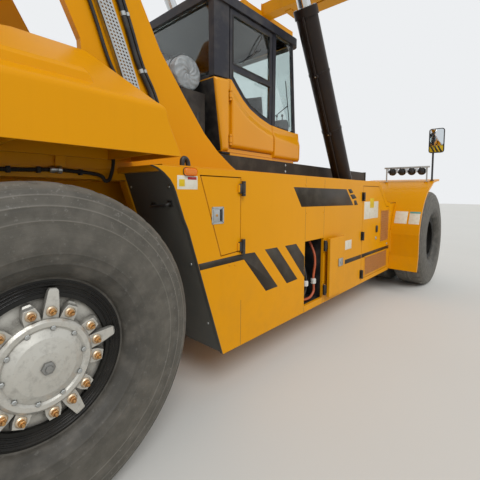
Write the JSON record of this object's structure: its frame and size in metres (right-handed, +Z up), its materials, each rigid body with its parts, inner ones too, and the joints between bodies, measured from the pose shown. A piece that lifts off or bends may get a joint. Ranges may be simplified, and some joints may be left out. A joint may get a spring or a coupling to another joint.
{
  "type": "reach stacker",
  "caption": "Electric reach stacker: raised telescopic boom with lift cylinders, sliding cab, slewing and extending spreader, steered rear wheels.",
  "frame": {"origin": "floor under the middle of the machine's length", "axes": "+X forward, +Y to the machine's left, +Z up"},
  "size_m": [10.3864, 6.058, 9.2976],
  "materials": {
    "body_paint": "gloss",
    "dark_paint": "satin",
    "black_paint": "satin",
    "cylinder_paint": "gloss",
    "rod_chrome": "polished",
    "hub_silver": "satin",
    "tyre": "matte",
    "glass": "clear",
    "interior": "matte",
    "guard_steel": "brushed"
  },
  "bodies": {
    "machine": {"chassis": "body_paint", "tower": "body_paint", "counterweight": "body_paint", "front_axle": "dark_paint", "rear_axle": "dark_paint", "side_body_right": "body_paint", "side_body_left": "body_paint", "arch_walls": "dark_paint", "rear_hood_right": "body_paint", "rear_hood_left": "body_paint", "rear_bonnet": "body_paint", "front_fender_right": "body_paint", "front_fender_left": "body_paint", "deck": "body_paint", "cab_rails": "dark_paint", "charge_bay": "interior", "battery": "dark_paint", "drive_motor": "dark_paint", "lamp_bars": "interior", "mirrors": "interior", "hose_guard": "guard_steel", "rear_tank": "dark_paint", "rear_drum": "hub_silver", "access_ladder": "dark_paint"},
    "steering_knuckle_right": {"knuckle_right": "dark_paint"},
    "steering_knuckle_left": {"knuckle_left": "dark_paint"},
    "rear_wheel_right": {"rear_tyre_right": "tyre", "rear_rim_right": "black_paint", "rear_hub_right": "hub_silver"},
    "rear_wheel_left": {"rear_tyre_left": "tyre", "rear_rim_left": "black_paint", "rear_hub_left": "hub_silver"},
    "front_wheels_right": {"front_tyres_right": "tyre", "front_rim_right": "black_paint"},
    "front_wheels_left": {"front_tyres_left": "tyre", "front_rim_left": "black_paint"},
    "boom": {"boom_outer": "body_paint"},
    "boom_extension": {"boom_inner": "body_paint"},
    "lift_cylinder_right": {"lift_barrel_right": "cylinder_paint"},
    "lift_cylinder_left": {"lift_barrel_left": "cylinder_paint"},
    "lift_piston_right": {"lift_rod_right": "rod_chrome"},
    "lift_piston_left": {"lift_rod_left": "rod_chrome"},
    "head": {"yoke": "body_paint"},
    "slewing_frame": {"rotator": "dark_paint"},
    "spreader": {"spreader_frame": "body_paint"},
    "spreader_arm_right": {"spreader_beam_right": "body_paint"},
    "spreader_arm_left": {"spreader_beam_left": "body_paint"},
    "cab": {"cab_body": "body_paint", "cab_frame": "dark_paint", "cab_glass": "glass", "cab_interior": "interior"},
    "cab_door": {"cab_door_panel": "body_paint", "cab_door_frame": "dark_paint", "cab_door_glass": "glass"},
    "service_hatch_right": {"service_door_right": "body_paint"},
    "service_hatch_left": {"service_door_left": "body_paint"},
    "bay_hatch_right": {"bay_door_right": "body_paint"},
    "bay_hatch_left": {"bay_door_left": "body_paint"},
    "port_hatch": {"port_door": "body_paint"}
  },
  "joints": [
    {"name": "steer_right", "type": "hinge", "parent": "machine", "child": "steering_knuckle_right", "pos_m": [-3.74323, -1.24, 0.815], "axis": [0, 0, 1], "range_deg": [-50, 50]},
    {"name": "rear_wheel_right_spin", "type": "hinge", "parent": "steering_knuckle_right", "child": "rear_wheel_right", "pos_m": [-3.74323, -1.54, 0.815], "axis": [0, 1, 0], "continuous": true},
    {"name": "front_wheels_right_spin", "type": "hinge", "parent": "machine", "child": "front_wheels_right", "pos_m": [2.25677, -1.53, 0.815], "axis": [0, 1, 0], "continuous": true},
    {"name": "steer_left", "type": "hinge", "parent": "machine", "child": "steering_knuckle_left", "pos_m": [-3.74323, 1.24, 0.815], "axis": [0, 0, 1], "range_deg": [-50, 50]},
    {"name": "rear_wheel_left_spin", "type": "hinge", "parent": "steering_knuckle_left", "child": "rear_wheel_left", "pos_m": [-3.74323, 1.54, 0.815], "axis": [0, 1, 0], "continuous": true},
    {"name": "front_wheels_left_spin", "type": "hinge", "parent": "machine", "child": "front_wheels_left", "pos_m": [2.25677, 1.53, 0.815], "axis": [0, 1, 0], "continuous": true},
    {"name": "boom_lift", "type": "hinge", "parent": "machine", "child": "boom", "pos_m": [-3.59323, 0, 3.95], "axis": [0, -1, 0], "range_deg": [-36, 24]},
    {"name": "boom_extend", "type": "slide", "parent": "boom", "child": "boom_extension", "axis": [-0.809, 0, -0.5878], "range_m": [-6, 0]},
    {"name": "lift_cylinder_right_tilt", "type": "hinge", "parent": "machine", "child": "lift_cylinder_right", "pos_m": [1.00177, -1.1, 1.2], "axis": [0, -1, 0], "range_deg": [-6, 6]},
    {"name": "lift_piston_right_slide", "type": "slide", "parent": "lift_cylinder_right", "child": "lift_piston_right", "axis": [-0.5027, 0, 0.8645], "range_m": [-1.5709, 1.0474]},
    {"name": "lift_cylinder_left_tilt", "type": "hinge", "parent": "machine", "child": "lift_cylinder_left", "pos_m": [1.00177, 1.1, 1.2], "axis": [0, -1, 0], "range_deg": [-6, 6]},
    {"name": "lift_piston_left_slide", "type": "slide", "parent": "lift_cylinder_left", "child": "lift_piston_left", "axis": [-0.5027, 0, 0.8645], "range_m": [-1.5709, 1.0474]},
    {"name": "head_level", "type": "hinge", "parent": "boom_extension", "child": "head", "pos_m": [3.97423, 0, 8.33562], "axis": [0, -1, 0], "range_deg": [-24, 36]},
    {"name": "spreader_slew", "type": "hinge", "parent": "head", "child": "slewing_frame", "pos_m": [3.97423, 0, 8.33562], "axis": [0, 0, 1], "range_deg": [-105, 195]},
    {"name": "side_shift", "type": "slide", "parent": "slewing_frame", "child": "spreader", "axis": [0, -1, 0], "range_m": [-0.8, 0.8]},
    {"name": "spreader_arm_right_slide", "type": "slide", "parent": "spreader", "child": "spreader_arm_right", "axis": [0, -1, 0], "range_m": [0, 3.05]},
    {"name": "spreader_arm_left_slide", "type": "slide", "parent": "spreader", "child": "spreader_arm_left", "axis": [0, 1, 0], "range_m": [0, 3.05]},
    {"name": "cab_slide", "type": "slide", "parent": "machine", "child": "cab", "axis": [1, 0, 0], "range_m": [0, 1.4]},
    {"name": "cab_door_swing", "type": "hinge", "parent": "cab", "child": "cab_door", "pos_m": [-1.64823, -0.874, 2.385], "axis": [0, 0, 1], "range_deg": [-75, 0]},
    {"name": "service_hatch_right_swing", "type": "hinge", "parent": "machine", "child": "service_hatch_right", "pos_m": [-2.31123, -1.65, 1.391], "axis": [0, 0, 1], "range_deg": [0, 100]},
    {"name": "service_hatch_left_swing", "type": "hinge", "parent": "machine", "child": "service_hatch_left", "pos_m": [-2.31123, 1.65, 1.391], "axis": [0, 0, -1], "range_deg": [0, 100]},
    {"name": "bay_hatch_right_swing", "type": "hinge", "parent": "machine", "child": "bay_hatch_right", "pos_m": [0.12877, -1.65, 1.016], "axis": [0, 0, -1], "range_deg": [0, 100]},
    {"name": "bay_hatch_left_swing", "type": "hinge", "parent": "machine", "child": "bay_hatch_left", "pos_m": [0.12877, 1.65, 1.016], "axis": [0, 0, 1], "range_deg": [0, 100]},
    {"name": "port_hatch_swing", "type": "hinge", "parent": "machine", "child": "port_hatch", "pos_m": [-0.94023, -1.65, 0.765], "axis": [0, 0, -1], "range_deg": [0, 180]}
  ],
  "couplings": [
    {"joint": "steer_left", "follows": "steer_right", "ratio": 1},
    {"joint": "lift_cylinder_right_tilt", "follows": "boom_lift", "ratio": 0.02},
    {"joint": "lift_cylinder_left_tilt", "follows": "boom_lift", "ratio": 0.02},
    {"joint": "lift_piston_right_slide", "follows": "boom_lift", "m_per_rad": 2.5},
    {"joint": "lift_piston_left_slide", "follows": "boom_lift", "m_per_rad": 2.5},
    {"joint": "head_level", "follows": "boom_lift", "ratio": -1},
    {"joint": "spreader_arm_left_slide", "follows": "spreader_arm_right_slide", "ratio": 1}
  ]
}
